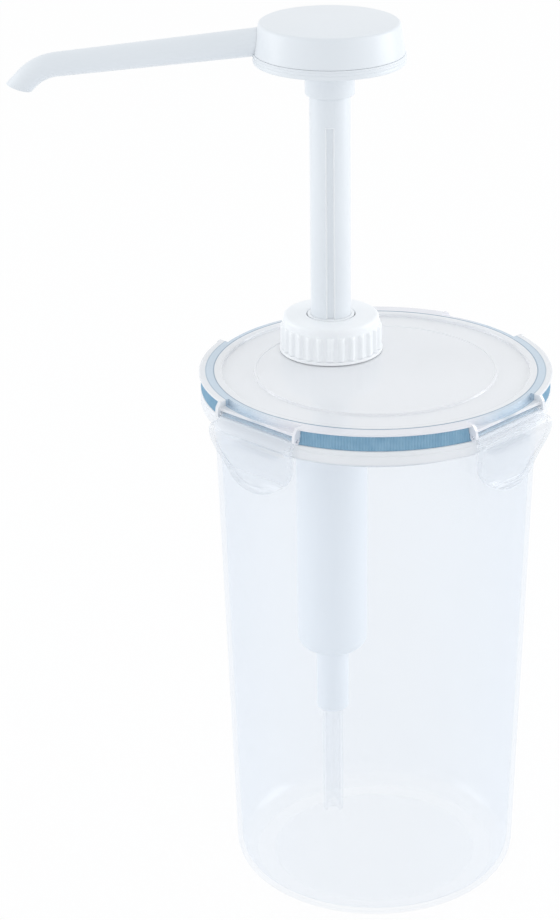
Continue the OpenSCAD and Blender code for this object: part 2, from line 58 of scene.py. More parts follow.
# %% [markdown]
# The camera. The dispenser is seen from in front and a little above, 23 degrees down, from just
# under a metre away. The lens was found by matching the ellipses of the lid and the foot. The pump
# stands left of the middle of the picture, so the lens is shifted sideways and not turned, which
# keeps the jar upright.

# %% Camera
PICTURE_W, PICTURE_H = 560, 920
FOCAL_PX = 2550.66
CENTRE_PX = 361.456
CAMERA_AT = Vector((-5.223, -874.187, 547.847)) * MM
CAMERA_DOWN = radians(23.48)
SENSOR = 36.0

camera_data = bpy.data.cameras.new("camera")
camera_data.sensor_fit = "AUTO"
camera_data.sensor_width = SENSOR
camera_data.lens = FOCAL_PX / PICTURE_H * SENSOR
camera_data.shift_x = (PICTURE_W / 2 - CENTRE_PX) / PICTURE_H
camera_data.clip_start = 0.05
camera_data.clip_end = 20
camera = bpy.data.objects.new("camera", camera_data)
camera.location = CAMERA_AT
camera.rotation_euler = (pi / 2 - CAMERA_DOWN, 0, 0)
bpy.context.scene.collection.objects.link(camera)
bpy.context.scene.camera = camera
print(f"lens {camera_data.lens:.1f} mm, shift {camera_data.shift_x:.4f}")

# %% [markdown]
# Small helpers for node materials. A material is a node tree: each helper adds one node, sets its
# sockets and links it, so that a recipe below reads from top to bottom.


# %% Node helpers
def new_material(name):
    material = bpy.data.materials.new(name)
    material.use_nodes = True
    tree = material.node_tree
    tree.nodes.clear()
    return material, tree


def add(tree, kind, label=None, **values):
    node = tree.nodes.new(kind)
    node.label = label or ""
    for key, value in values.items():
        setattr(node, key, value)
    return node


def link(tree, source, target):
    tree.links.new(source, target)


def noise(tree, scale, detail=2.0, roughness=0.5, stretch=(1, 1, 1)):
    """A noise pattern fixed to the piece, in turns per metre."""
    where = add(tree, "ShaderNodeTexCoord")
    mapping = add(tree, "ShaderNodeMapping")
    mapping.inputs["Scale"].default_value = stretch
    pattern = add(tree, "ShaderNodeTexNoise")
    pattern.inputs["Scale"].default_value = scale
    pattern.inputs["Detail"].default_value = detail
    pattern.inputs["Roughness"].default_value = roughness
    link(tree, where.outputs["Object"], mapping.inputs["Vector"])
    link(tree, mapping.outputs["Vector"], pattern.inputs["Vector"])
    return pattern.outputs["Fac"]


def spread(tree, value, low, high):
    """Maps a 0 to 1 value to the range from low to high."""
    ranged = add(tree, "ShaderNodeMapRange")
    ranged.inputs["To Min"].default_value = low
    ranged.inputs["To Max"].default_value = high
    link(tree, value, ranged.inputs["Value"])
    return ranged.outputs["Result"]


def colours(tree, value, dark, light, low=0.3, high=0.7):
    """Mixes two colours by a 0 to 1 value."""
    ramp = add(tree, "ShaderNodeValToRGB")
    ramp.color_ramp.elements[0].position = low
    ramp.color_ramp.elements[0].color = (*dark, 1)
    ramp.color_ramp.elements[1].position = high
    ramp.color_ramp.elements[1].color = (*light, 1)
    link(tree, value, ramp.inputs["Fac"])
    return ramp.outputs["Color"]


def bumps(tree, height, depth, strength=1.0):
    bump = add(tree, "ShaderNodeBump")
    bump.inputs["Distance"].default_value = depth
    bump.inputs["Strength"].default_value = strength
    link(tree, height, bump.inputs["Height"])
    return bump.outputs["Normal"]


# %% [markdown]
# White pump plastic. It is an injection-moulded, slightly cool white, smooth but not polished: the
# highlights are soft. Its colour and roughness drift a little, and a very fine bump breaks up the
# reflections as the mould's own surface does.


# %% White plastic
def make_white_plastic(name, light, dark, roughness):
    material, tree = new_material(name)
    shader = add(tree, "ShaderNodeBsdfPrincipled")
    output = add(tree, "ShaderNodeOutputMaterial")
    cloud = noise(tree, 18, detail=3)
    link(tree, colours(tree, cloud, dark, light), shader.inputs["Base Color"])
    link(tree, spread(tree, noise(tree, 60, detail=2), roughness - 0.04, roughness + 0.05),
         shader.inputs["Roughness"])
    link(tree, bumps(tree, noise(tree, 2600, detail=2), 0.00002, 0.25), shader.inputs["Normal"])
    shader.inputs["IOR"].default_value = 1.49
    link(tree, shader.outputs["BSDF"], output.inputs["Surface"])
    return material


white_plastic = make_white_plastic("white_plastic", (0.838, 0.87, 0.902), (0.818, 0.853, 0.885), 0.3)
# A lighter copy of the same white plastic, as painted light: it brightens the pump's inner parts, the
# collar and the stem's edges beyond what the lamps give them.
painted_light_plastic = make_white_plastic("white_plastic_painted_light", (0.965, 0.98, 0.995), (0.95, 0.97, 0.985), 0.3)

# %% [markdown]
# Clear jar plastic. Polypropylene is milky: most light goes straight through, and a little is
# scattered in the wall. A refracting shader would darken the inside, because light can't find its
# way in, so the clear share is plain transparency with a faint tint. The milky share is part
# diffuse, for light from the near side, and part translucent, for light from behind. A wall that is
# seen along its length has more plastic in the way, so the milky share rises there. A weak mirror
# lies over both, as on any smooth plastic.


# %% Clear plastic
def make_clear_plastic(name, tint, milk, haze, edge_haze, behind=0.4, mirror_low=0.03, shine=0.35,
                       pattern=None):
    """A milky see-through plastic. Behind is the share of its milk that shows light from behind,
    mirror_low and shine are the mirror's share seen square on and along the surface, and pattern may
    change the milk's colour and the haze from place to place."""
    material, tree = new_material(name)
    output = add(tree, "ShaderNodeOutputMaterial")
    clear = add(tree, "ShaderNodeBsdfTransparent")
    clear.inputs["Color"].default_value = (*tint, 1)
    near = add(tree, "ShaderNodeBsdfDiffuse")
    near.inputs["Color"].default_value = (*milk, 1)
    through = add(tree, "ShaderNodeBsdfTranslucent")
    through.inputs["Color"].default_value = (*milk, 1)
    milky = add(tree, "ShaderNodeMixShader")
    milky.inputs["Fac"].default_value = behind
    link(tree, near.outputs["BSDF"], milky.inputs[1])
    link(tree, through.outputs["BSDF"], milky.inputs[2])

    slant = add(tree, "ShaderNodeLayerWeight")
    slant.inputs["Blend"].default_value = 0.5
    depth = add(tree, "ShaderNodeMapRange")
    depth.inputs["To Min"].default_value = haze
    depth.inputs["To Max"].default_value = edge_haze
    link(tree, slant.outputs["Facing"], depth.inputs["Value"])
    cloud = spread(tree, noise(tree, 12, detail=2), 0.9, 1.1)
    share = add(tree, "ShaderNodeMath", operation="MULTIPLY")
    link(tree, depth.outputs["Result"], share.inputs[0])
    link(tree, cloud, share.inputs[1])
    total = share.outputs[0]
    if pattern:
        total, colour = pattern(tree, total)
        link(tree, colour, near.inputs["Color"])
        link(tree, colour, through.inputs["Color"])
    body = add(tree, "ShaderNodeMixShader")
    link(tree, total, body.inputs["Fac"])
    link(tree, clear.outputs["BSDF"], body.inputs[1])
    link(tree, milky.outputs["Shader"], body.inputs[2])

    mirror = add(tree, "ShaderNodeBsdfAnisotropic")
    mirror.inputs["Color"].default_value = (1, 1, 1, 1)
    mirror.inputs["Roughness"].default_value = 0.09
    grazing = add(tree, "ShaderNodeMath", operation="POWER")
    grazing.inputs[1].default_value = 5
    link(tree, slant.outputs["Facing"], grazing.inputs[0])
    gloss = add(tree, "ShaderNodeMapRange")
    gloss.inputs["To Min"].default_value = mirror_low
    gloss.inputs["To Max"].default_value = shine
    link(tree, grazing.outputs[0], gloss.inputs["Value"])
    coated = add(tree, "ShaderNodeMixShader")
    link(tree, gloss.outputs[0], coated.inputs["Fac"])
    link(tree, body.outputs["Shader"], coated.inputs[1])
    link(tree, mirror.outputs["BSDF"], coated.inputs[2])
    link(tree, coated.outputs["Shader"], output.inputs["Surface"])
    return material


flap_plastic = make_clear_plastic("flap_plastic", (0.985, 0.99, 0.997), (0.93, 0.955, 0.985), 0.16, 0.45,
                                  behind=0.3)
# A whiter milk for the flaps' bevelled edges: a painted highlight.
flap_edge_painted_highlight = make_clear_plastic("flap_edge_painted_highlight", (0.99, 0.995, 1.0), (0.985, 0.993, 1.0), 0.9, 0.95,
                                  behind=0.3, shine=0.5)
tube_plastic = make_clear_plastic("tube_plastic", (0.995, 0.997, 1.0), (0.95, 0.97, 0.99), 0.06, 0.15,
                                  behind=0.3, shine=0.12)

# %% [markdown]
# The jar's plastic looks faintly blue through its thin wall, clearer in its floor, and white where it
# is thick: at the flange round the mouth. So its colour and its haze change with the height.


# %% Jar plastic
def ramp_of(tree, value, low, high, stops):
    """A colour ramp whose stops are given on the same scale as its value, from low to high."""
    along = add(tree, "ShaderNodeMapRange")
    along.inputs["From Min"].default_value = low * MM
    along.inputs["From Max"].default_value = high * MM
    link(tree, value, along.inputs["Value"])
    ramp = add(tree, "ShaderNodeValToRGB")
    elements = ramp.color_ramp.elements
    while len(elements) < len(stops):
        elements.new(0.5)
    for element, (at, colour) in zip(elements, stops):
        element.position = (at - low) / (high - low)
        element.color = (*colour, 1)
    link(tree, along.outputs["Result"], ramp.inputs["Fac"])
    return ramp.outputs["Color"]


def grey(value):
    return (value, value, value)


def reckoned(tree, operation, one, other):
    """One number worked out from two others by a Math node, kept between 0 and 1."""
    result = add(tree, "ShaderNodeMath", operation=operation, use_clamp=True)
    link(tree, one, result.inputs[0])
    link(tree, other, result.inputs[1])
    return result.outputs[0]


def flange_milk(tree, haze):
    where = add(tree, "ShaderNodeTexCoord")
    axes = add(tree, "ShaderNodeSeparateXYZ")
    link(tree, where.outputs["Object"], axes.inputs[0])
    height = axes.outputs["Z"]
    blue, white = (0.82, 0.885, 0.97), (0.975, 0.985, 1.0)
    tone = ramp_of(tree, height, 0, 200, [(2, white), (4, blue), (193.4, blue), (193.8, white)])
    clearing = ramp_of(tree, height, 0, 200, [(2.5, grey(0.4)), (4, grey(1.0))])
    at_least = ramp_of(tree, height, 0, 200, [(193.4, grey(0.0)), (193.8, grey(0.95))])
    thin = reckoned(tree, "MULTIPLY", haze, clearing)
    return reckoned(tree, "MAXIMUM", thin, at_least), tone


jar_plastic = make_clear_plastic("jar_plastic", (0.985, 0.991, 0.998), (0.82, 0.885, 0.97), 0.06, 0.19,
                                 behind=0.15, pattern=flange_milk)

# %% [markdown]
# The lid is of the same plastic but thicker and milkier. Under its rim lies the blue seal, which
# shows through as bands: a dark line where the seal presses on the lid, a pale blue band, a thin
# line again, and a white edge outside. Between the front flaps and between the back ones the band is
# nearly white. The rule for that is a ramp along the distance from the lid's axis, in two versions
# that are mixed by the side they are on.


# %% Lid plastic
def rim_bands(tree, haze):
    where = add(tree, "ShaderNodeTexCoord")
    flat = add(tree, "ShaderNodeVectorMath", operation="MULTIPLY")
    flat.inputs[1].default_value = (1, 1, 0)
    far = add(tree, "ShaderNodeVectorMath", operation="LENGTH")
    link(tree, where.outputs["Object"], flat.inputs[0])
    link(tree, flat.outputs["Vector"], far.inputs[0])
    white, pinkish, pale = (0.96, 0.97, 0.99), (0.95, 0.95, 0.99), (0.66, 0.78, 0.89)
    line, thin_line = (0.20, 0.33, 0.46), (0.40, 0.54, 0.66)
    sides = ramp_of(tree, far.outputs["Value"], 56, 66, [
        (59.2, white), (59.5, line), (59.9, pale), (62.1, pale), (62.4, thin_line), (62.8, white)])
    fronts = ramp_of(tree, far.outputs["Value"], 56, 66, [
        (59.1, white), (59.35, line), (59.65, line), (60.1, pinkish), (62.8, pinkish)])
    axes = add(tree, "ShaderNodeSeparateXYZ")
    link(tree, where.outputs["Object"], axes.inputs[0])
    ahead = add(tree, "ShaderNodeMath", operation="ABSOLUTE")
    link(tree, axes.outputs["Y"], ahead.inputs[0])
    mostly = add(tree, "ShaderNodeMapRange")
    mostly.inputs["From Min"].default_value = 0.042
    mostly.inputs["From Max"].default_value = 0.054
    link(tree, ahead.outputs[0], mostly.inputs["Value"])
    mixed = add(tree, "ShaderNodeMix", data_type="RGBA")
    link(tree, mostly.outputs["Result"], mixed.inputs["Factor"])
    link(tree, sides, mixed.inputs[6])
    link(tree, fronts, mixed.inputs[7])
    return haze, mixed.outputs[2]


lid_plastic = make_clear_plastic("lid_plastic", (0.985, 0.99, 0.997), (0.97, 0.977, 0.99), 0.92, 0.92,
                                 behind=0.1, mirror_low=0.1, shine=1.0, pattern=rim_bands)

# %% [markdown]
# Blue silicone of the seals: matt, a little sheen, and a slightly uneven colour.


# %% Silicone
def make_silicone(name, light, dark):
    material, tree = new_material(name)
    output = add(tree, "ShaderNodeOutputMaterial")
    shader = add(tree, "ShaderNodeBsdfPrincipled")
    link(tree, colours(tree, noise(tree, 300, detail=3), dark, light), shader.inputs["Base Color"])
    link(tree, spread(tree, noise(tree, 90), 0.45, 0.6), shader.inputs["Roughness"])
    link(tree, bumps(tree, noise(tree, 1800, detail=2), 0.00003, 0.4), shader.inputs["Normal"])
    link(tree, shader.outputs["BSDF"], output.inputs["Surface"])
    return material


blue_silicone = make_silicone("blue_silicone", (0.27, 0.46, 0.61), (0.21, 0.395, 0.55))

# %% [markdown]
# Stainless steel of the balls and the spring, with faint drawing marks.


# %% Steel
def make_steel(name):
    material, tree = new_material(name)
    output = add(tree, "ShaderNodeOutputMaterial")
    shader = add(tree, "ShaderNodeBsdfPrincipled")
    shader.inputs["Metallic"].default_value = 1
    marks = noise(tree, 900, detail=2, stretch=(1, 1, 6))
    link(tree, colours(tree, marks, (0.55, 0.56, 0.58), (0.68, 0.69, 0.70)), shader.inputs["Base Color"])
    link(tree, spread(tree, marks, 0.16, 0.3), shader.inputs["Roughness"])
    link(tree, shader.outputs["BSDF"], output.inputs["Surface"])
    return material


steel = make_steel("steel")

# %% Finishes of the parts
FINISHES = {
    "jar": jar_plastic, "lid": lid_plastic, "dip_tube": tube_plastic,
    "flap_front_left": flap_plastic, "flap_front_right": flap_plastic,
    "flap_back_left": flap_plastic, "flap_back_right": flap_plastic,
    "lid_gasket": blue_silicone, "neck_washer": blue_silicone, "stem_seal": blue_silicone,
    "inlet_ball": steel, "outlet_ball": steel, "return_spring": steel,
    # The pump's inner white parts get the lighter copy: painted light for the shade inside the jar and the
    # lid.
    "pump_cylinder": painted_light_plastic, "ball_cage": painted_light_plastic, "guide_bush": painted_light_plastic,
}
for name, node in nodes.items():
    node.data.materials.clear()
    node.data.materials.append(FINISHES.get(name, white_plastic))
print("finishes given to", len(nodes), "parts")

# %% [markdown]
# The first modelling tool. Most parts of the dispenser are turned: their shape is a profile swept
# round an axis. In Blender that can be done with a screw modifier, with a curve, or as on a lathe: a
# single vertex is extruded along the profile, and spin turns the line round the axis. Spin is used
# here, because the result is a plain mesh that the next steps can cut and press. The corners of the
# profile are eased first, as every moulded edge is.


# %% Lathe
def eased(points, radius, steps=3):
    """Rounds the corners of a profile with small curves that take up at most half of each side."""
    line = [Vector(p) for p in points]
    rounded = [line[0]]
    for before, corner, after in zip(line, line[1:], line[2:]):
        back = before - corner
        on = after - corner
        start = corner + back.normalized() * min(radius, back.length * 0.45)
        end = corner + on.normalized() * min(radius, on.length * 0.45)
        for i in range(steps + 1):
            t = i / steps
            rounded.append(start.lerp(corner, t).lerp(corner.lerp(end, t), t))
    rounded.append(line[-1])
    return rounded


def arc(centre, radius, a0, a1, steps=8):
    """Points of a circular arc, with its angles in degrees."""
    angles = [radians(a0 + (a1 - a0) * i / steps) for i in range(steps + 1)]
    return [(centre[0] + radius * cos(a), centre[1] + radius * sin(a)) for a in angles]


def traced(name, points):
    """Draws a line of edges through points in millimetres, and leaves it selected in edit mode."""
    bpy.ops.object.select_all(action="DESELECT")
    bpy.ops.mesh.primitive_plane_add(size=MM, location=Vector(points[0]) * MM)
    piece = bpy.context.active_object
    piece.name = name
    bpy.ops.object.transform_apply(location=True, rotation=True, scale=True)
    bpy.ops.object.mode_set(mode="EDIT")
    bpy.ops.mesh.merge(type="CENTER")
    for here, there in zip(points, points[1:]):
        step = (Vector(there) - Vector(here)) * MM
        bpy.ops.mesh.extrude_vertices_move(TRANSFORM_OT_translate={"value": step})
    bpy.ops.mesh.select_all(action="SELECT")
    return piece


def lathe(name, profile, sides=180, at=(0, 0)):
    """Turns a profile of (radius, height) points in millimetres round an upright axis at a place."""
    piece = traced(name, [(at[0] + r, at[1], z) for r, z in profile])
    bpy.ops.mesh.spin(steps=sides, angle=2 * pi, center=(at[0] * MM, at[1] * MM, 0), axis=(0, 0, 1))
    bpy.ops.mesh.select_all(action="SELECT")
    bpy.ops.mesh.remove_doubles(threshold=TINY)
    bpy.ops.mesh.normals_make_consistent(inside=False)
    bpy.ops.object.mode_set(mode="OBJECT")
    return piece


TINY = 0.000004
FLAP_TURN = 3
FLAP_ANGLES = {"front_left": FLAP_TURN - 135, "front_right": FLAP_TURN - 45,
               "back_left": FLAP_TURN + 135, "back_right": FLAP_TURN + 45}

# %% [markdown]
# A finished piece has its place in its mesh, smooth shading up to a sharp angle, its finish, the body
# it moves with, and the plain part that it stands for.


# %% Finishing a piece
def open_edges(piece):
    """How many edges don't have exactly two faces: a closed shell has none."""
    faces_at = [0] * len(piece.data.edges)
    for corner in piece.data.loops:
        faces_at[corner.edge_index] += 1
    return sum(count != 2 for count in faces_at)


def finished(piece, material, body, slot, *stands_for, sharp=40):
    bpy.ops.object.select_all(action="DESELECT")
    piece.select_set(True)
    bpy.context.view_layer.objects.active = piece
    bpy.ops.object.transform_apply(location=True, rotation=True, scale=True)
    bpy.ops.object.shade_smooth_by_angle(angle=radians(sharp))
    if not any(piece.data.materials):
        piece.data.materials.clear()
        piece.data.materials.append(material)
    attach(piece, body)
    if stands_for:
        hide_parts(*stands_for)
    print(piece.name, "has", len(piece.data.polygons), "faces,", open_edges(piece), "open edges")
    return piece


def tidied(piece):
    """Merges what a press or a cut has brought together, and points all faces outwards."""
    bpy.ops.object.select_all(action="DESELECT")
    piece.select_set(True)
    bpy.context.view_layer.objects.active = piece
    bpy.ops.object.mode_set(mode="EDIT")
    bpy.ops.mesh.select_all(action="SELECT")
    bpy.ops.mesh.remove_doubles(threshold=TINY)
    bpy.ops.mesh.dissolve_degenerate(threshold=TINY)
    bpy.ops.mesh.normals_make_consistent(inside=False)
    bpy.ops.object.mode_set(mode="OBJECT")


# %% [markdown]
# The blue seal is the one strong colour of the dispenser. It is a silicone ring between the jar and
# the lid, bare to the eye between the flaps, where its outside is finely ribbed from top to bottom.
# The ring is turned with two columns of faces to a rib, and every second column is pressed in.
# Behind the flaps it is flat, and under their ledges it is low: there its vertices are pressed on to
# those planes.

# %% Ribbed seal
RIBS = 380
RIB_DEPTH = 0.3
seal_low, seal_high = (corner.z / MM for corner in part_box("lid_gasket"))
seal_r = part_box("lid_gasket")[1].x / MM
SEAL_IN_R = 57.85
SEAL_FLAT = 61.2
SEAL_HALF_W = 19.55
LEDGE_CUT_Z = 202.0

seal_profile = eased([
    (SEAL_IN_R, seal_low), (seal_r, seal_low), (seal_r, LEDGE_CUT_Z - 0.4), (seal_r, LEDGE_CUT_Z),
    (seal_r, seal_high - 0.2), (SEAL_IN_R + 1.5, seal_high - 0.2), (SEAL_IN_R, seal_high - 0.2),
    (SEAL_IN_R, LEDGE_CUT_Z), (SEAL_IN_R, seal_low)], 0.3)
ribbed_seal = lathe("ribbed_seal", seal_profile, sides=2 * RIBS)
for vertex in ribbed_seal.data.vertices:
    column = round(atan2(vertex.co.y, vertex.co.x) / pi * RIBS)
    reach = vertex.co.xy.length / MM
    if column % 2 and reach > seal_r - 0.05:
        vertex.co.xy *= (reach - RIB_DEPTH) / reach
for angle in FLAP_ANGLES.values():
    out = Vector((cos(radians(angle)), sin(radians(angle)), 0))
    side = Vector((-out.y, out.x, 0))
    for vertex in ribbed_seal.data.vertices:
        if vertex.co.dot(out) < 0 or abs(vertex.co.dot(side)) > SEAL_HALF_W * MM:
            continue
        vertex.co.z = min(vertex.co.z, LEDGE_CUT_Z * MM)
        if vertex.co.dot(out) > SEAL_FLAT * MM:
            vertex.co += out * (SEAL_FLAT * MM - vertex.co.dot(out))
tidied(ribbed_seal)
finished(ribbed_seal, blue_silicone, "lid", "blue_silicone", "lid_gasket")

# %% [markdown]
# The jar is a tapered beaker with a rounded foot and a thick flange round its mouth, blown up from
# one profile. It is turned on the lathe with its inside and its outside in one line, so the wall has
# its true thickness. The flange is cut flat behind each flap, with bisect.

# %% Jar
JAR_FOOT_R = 54.1
JAR_TOP_R = 59.9
JAR_WALL = 1.8
FLOOR_T = 2.4
CORNER_R = 8
FLANGE_FLAT = 61.6
MOUTH_R = 58.2
jar_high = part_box("jar")[1].z / MM
flange_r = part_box("jar")[1].x / MM
flange_low = jar_high - 5.5
mouth_low = jar_high - 11
lean = (JAR_TOP_R - JAR_FOOT_R) / jar_high


def jar_wall_r(z):
    return JAR_FOOT_R + lean * z


def floor_corner(wall_foot_r, z, radius):
    """The rounded corner between a floor at height z and the leaning wall."""
    centre = (wall_foot_r + lean * (z + radius) - radius / cos(atan(lean)), z + radius)
    return arc(centre, radius, -90, -degrees(atan(lean)), 12)


foot = eased([(0, 0.8), (38, 0.8), (39, 0), (45, 0)], 0.5)
rim = eased([
    (jar_wall_r(flange_low - 4), flange_low - 4), (jar_wall_r(flange_low), flange_low),
    (flange_r, flange_low), (flange_r, flange_low + 3.2), (flange_r - 0.4, flange_low + 3.6),
    (flange_r, flange_low + 4), (flange_r, jar_high), (MOUTH_R, jar_high), (MOUTH_R, mouth_low),
    (jar_wall_r(mouth_low - 2) - JAR_WALL, mouth_low - 2),
    (jar_wall_r(mouth_low - 9) - JAR_WALL, mouth_low - 9)], 0.5)
inside = list(reversed(floor_corner(JAR_FOOT_R - JAR_WALL, FLOOR_T, CORNER_R - JAR_WALL)))
jar_profile = foot + floor_corner(JAR_FOOT_R, 0, CORNER_R) + rim + inside + [(0, FLOOR_T)]
jar_shell = lathe("jar_shell", jar_profile, sides=192)
bpy.ops.object.mode_set(mode="EDIT")
for angle in FLAP_ANGLES.values():
    out = Vector((cos(radians(angle)), sin(radians(angle)), 0))
    bpy.ops.mesh.select_all(action="SELECT")
    bpy.ops.mesh.bisect(plane_co=out * FLANGE_FLAT * MM, plane_no=out, use_fill=True,
                        clear_outer=True, threshold=TINY)
bpy.ops.object.mode_set(mode="OBJECT")
finished(jar_shell, jar_plastic, "jar", "clear_plastic", "jar")

# %% [markdown]
# A locking flap is a tongue of clear plastic with a raised border, which bulges out below its hinge
# and flares again at its tip. It is drawn flat, as its outline seen from outside, filled and given
# its thickness by extrude. A smaller tongue is cut out of its outside, which leaves the border
# standing, and the border ends below the hinge. A bevel softens the edges and gives them a whiter
# plastic, a painted highlight for the light that a clear moulding lets out at its edges. Bisect then
# cuts the flap into strips from top to bottom, and the strips are set on the curve of the plate. The
# hinge barrel with its pins and the hook under the flange are joined on with booleans. One flap is
# modelled, and copied to the four places.

# %% One flap
HINGE_A = 62.8
HINGE_Z = 201.0
FLAP_HALF_W = 19.4
HINGE_HALF_W = 17.9
FLAP_MIDDLE_Z = HINGE_Z - 4.8
FLAP_T = 1.8
BORDER_W = 2.2
BORDER_T = 0.5
BULGE = 3
FLARE = 1.9
PIN_HALF = 19.3
BORDER_HIGH_Z = 198.2
flap_tip = FLAP_MIDDLE_Z - FLAP_HALF_W
guides = [(HINGE_A, HINGE_Z + 1), (HINGE_A, HINGE_Z - 1.4), (HINGE_A + BULGE + 0.5, HINGE_Z - 2.8),
          (HINGE_A + BULGE + 0.1, HINGE_Z - 8), (HINGE_A, HINGE_Z - 17),
          (HINGE_A + 0.7 * FLARE, flap_tip + 2.5), (HINGE_A + FLARE + 0.2, flap_tip - 1)]


def smooth_line(points, steps=8):
    """A smooth curve past the points, from the first to the last."""
    line = [Vector(p) for p in points]
    curve = [line[0]]
    for before, here, after in zip(line, line[1:], line[2:]):
        start = before if before == line[0] else before.lerp(here, 0.5)
        end = after if after == line[-1] else here.lerp(after, 0.5)
        for i in range(1, steps + 1):
            t = i / steps
            curve.append(start.lerp(here, t).lerp(here.lerp(end, t), t))
    return curve


flap_curve = smooth_line(guides)


def plate_at(z):
    """Distance from the jar's axis to the middle of the flap's plate at a height."""
    for upper, lower in zip(flap_curve, flap_curve[1:]):
        if lower.y <= z <= upper.y:
            share = (upper.y - z) / max(upper.y - lower.y, TINY)
            return upper.x + (lower.x - upper.x) * share
    return flap_curve[0].x if z > HINGE_Z else flap_curve[-1].x


def select_only(piece):
    bpy.ops.object.select_all(action="DESELECT")
    piece.select_set(True)
    bpy.context.view_layer.objects.active = piece


def join_on(piece, other, operation="UNION"):
    """Joins another solid to a piece, or cuts it away, and deletes it."""
    for material in piece.data.materials:
        other.data.materials.append(material)
    select_only(piece)
    change = piece.modifiers.new(operation.lower(), "BOOLEAN")
    change.operation = operation
    change.object = other
    change.solver = "MANIFOLD"
    bpy.ops.object.modifier_apply(modifier=change.name)
    print(piece.name, operation.lower(), other.name, "leaves", open_edges(piece), "open edges")
    bpy.data.objects.remove(other, do_unlink=True)


def soften(piece, width, segments=3, angle=35, edge_material=-1):
    select_only(piece)
    bevel = piece.modifiers.new("soft_edges", "BEVEL")
    bevel.width = width * MM
    bevel.segments = segments
    bevel.limit_method = "ANGLE"
    bevel.angle_limit = radians(angle)
    bevel.material = edge_material
    bpy.ops.object.modifier_apply(modifier=bevel.name)


def rod(name, radius, length, at, turn=(0, 0, 0), sides=32):
    bpy.ops.object.select_all(action="DESELECT")
    bpy.ops.mesh.primitive_cylinder_add(vertices=sides, radius=radius * MM, depth=length * MM,
                                        location=Vector(at) * MM, rotation=turn)
    piece = bpy.context.active_object
    piece.name = name
    bpy.ops.object.transform_apply(location=True, rotation=True, scale=True)
    return piece


def bar(name, low, high):
    low, high = Vector(low) * MM, Vector(high) * MM
    bpy.ops.object.select_all(action="DESELECT")
    bpy.ops.mesh.primitive_cube_add(size=1, location=(low + high) / 2, scale=high - low)
    piece = bpy.context.active_object
    piece.name = name
    bpy.ops.object.transform_apply(location=True, rotation=True, scale=True)
    return piece


def tongue(name, neck_half_w, radius, low_x, high_x, top):
    """A flat tongue with a straight neck and a round end, as a solid between two distances."""
    side = [(neck_half_w, top), (neck_half_w, HINGE_Z - 2)] + arc((0, FLAP_MIDDLE_Z), radius, 7, -83, 20)
    outline = side + [(-y, z) for y, z in reversed(side)]
    piece = traced(name, [(low_x, y, z) for y, z in outline])
    bpy.ops.mesh.edge_face_add()
    bpy.ops.mesh.extrude_region_move(TRANSFORM_OT_translate={"value": ((high_x - low_x) * MM, 0, 0)})
    bpy.ops.mesh.select_all(action="SELECT")
    bpy.ops.mesh.normals_make_consistent(inside=False)
    bpy.ops.object.mode_set(mode="OBJECT")
    return piece


plate_face = FLAP_T / 2
border_face = plate_face + BORDER_T
flap_model = tongue("flap_model", HINGE_HALF_W, FLAP_HALF_W, -plate_face, border_face, HINGE_Z)
flap_model.data.materials.append(flap_plastic)
flap_model.data.materials.append(flap_edge_painted_highlight)
inner_r = FLAP_HALF_W - BORDER_W
pocket = tongue("pocket", inner_r * cos(radians(7)), inner_r, plate_face, border_face + 1, HINGE_Z + 1)
join_on(flap_model, pocket, "DIFFERENCE")
above_border = bar("above_border", (plate_face, -20, BORDER_HIGH_Z), (border_face + 1, 20, HINGE_Z + 1))
join_on(flap_model, above_border, "DIFFERENCE")
# The bevel's faces take the second material, the painted highlight.
soften(flap_model, 0.25, edge_material=1)
bpy.ops.object.mode_set(mode="EDIT")
strips = 30
for i in range(1, strips):
    z = flap_tip + (HINGE_Z - flap_tip) * i / strips
    bpy.ops.mesh.select_all(action="SELECT")
    bpy.ops.mesh.bisect(plane_co=(0, 0, z * MM), plane_no=(0, 0, 1), threshold=TINY)
bpy.ops.mesh.select_all(action="SELECT")
bpy.ops.mesh.quads_convert_to_tris()
bpy.ops.mesh.normals_make_consistent(inside=False)
bpy.ops.object.mode_set(mode="OBJECT")
for vertex in flap_model.data.vertices:
    vertex.co.x += plate_at(vertex.co.z / MM) * MM
print("bent plate has", open_edges(flap_model), "open edges")
across = (pi / 2, 0, 0)
hook = bar("hook", (60.3, -10, 191.7), (HINGE_A + BULGE - 0.6, 10, 193.3))
soften(hook, 0.4)
join_on(flap_model, hook)
join_on(flap_model, rod("barrel", FLAP_T / 2 + 0.03, 2 * HINGE_HALF_W, (HINGE_A, 0, HINGE_Z), across))
join_on(flap_model, rod("pins", 0.6, 2 * PIN_HALF, (HINGE_A, 0, HINGE_Z), across))
print("flap of", len(flap_model.data.polygons), "faces")

# %% Four flaps
for place, angle in FLAP_ANGLES.items():
    select_only(flap_model)
    bpy.ops.object.duplicate()
    flap = bpy.context.active_object
    flap.name = f"locking_flap_{place}"
    flap.rotation_euler.z = radians(angle)
    finished(flap, flap_plastic, f"flap_{place}", "clear_plastic", f"flap_{place}", sharp=50)
bpy.data.objects.remove(flap_model, do_unlink=True)

# %% [markdown]
# The screw collar holds the pump to the lid. It is a cap with a hole for the stem, a thin flange at
# its foot, and a ring of round grip ribs. The cap is turned with a dozen columns of faces to a rib,
# and the columns of each rib are moved out to its round section, which fades out at the top. That
# keeps the collar one clean skin, where 28 joined rods would leave seams.

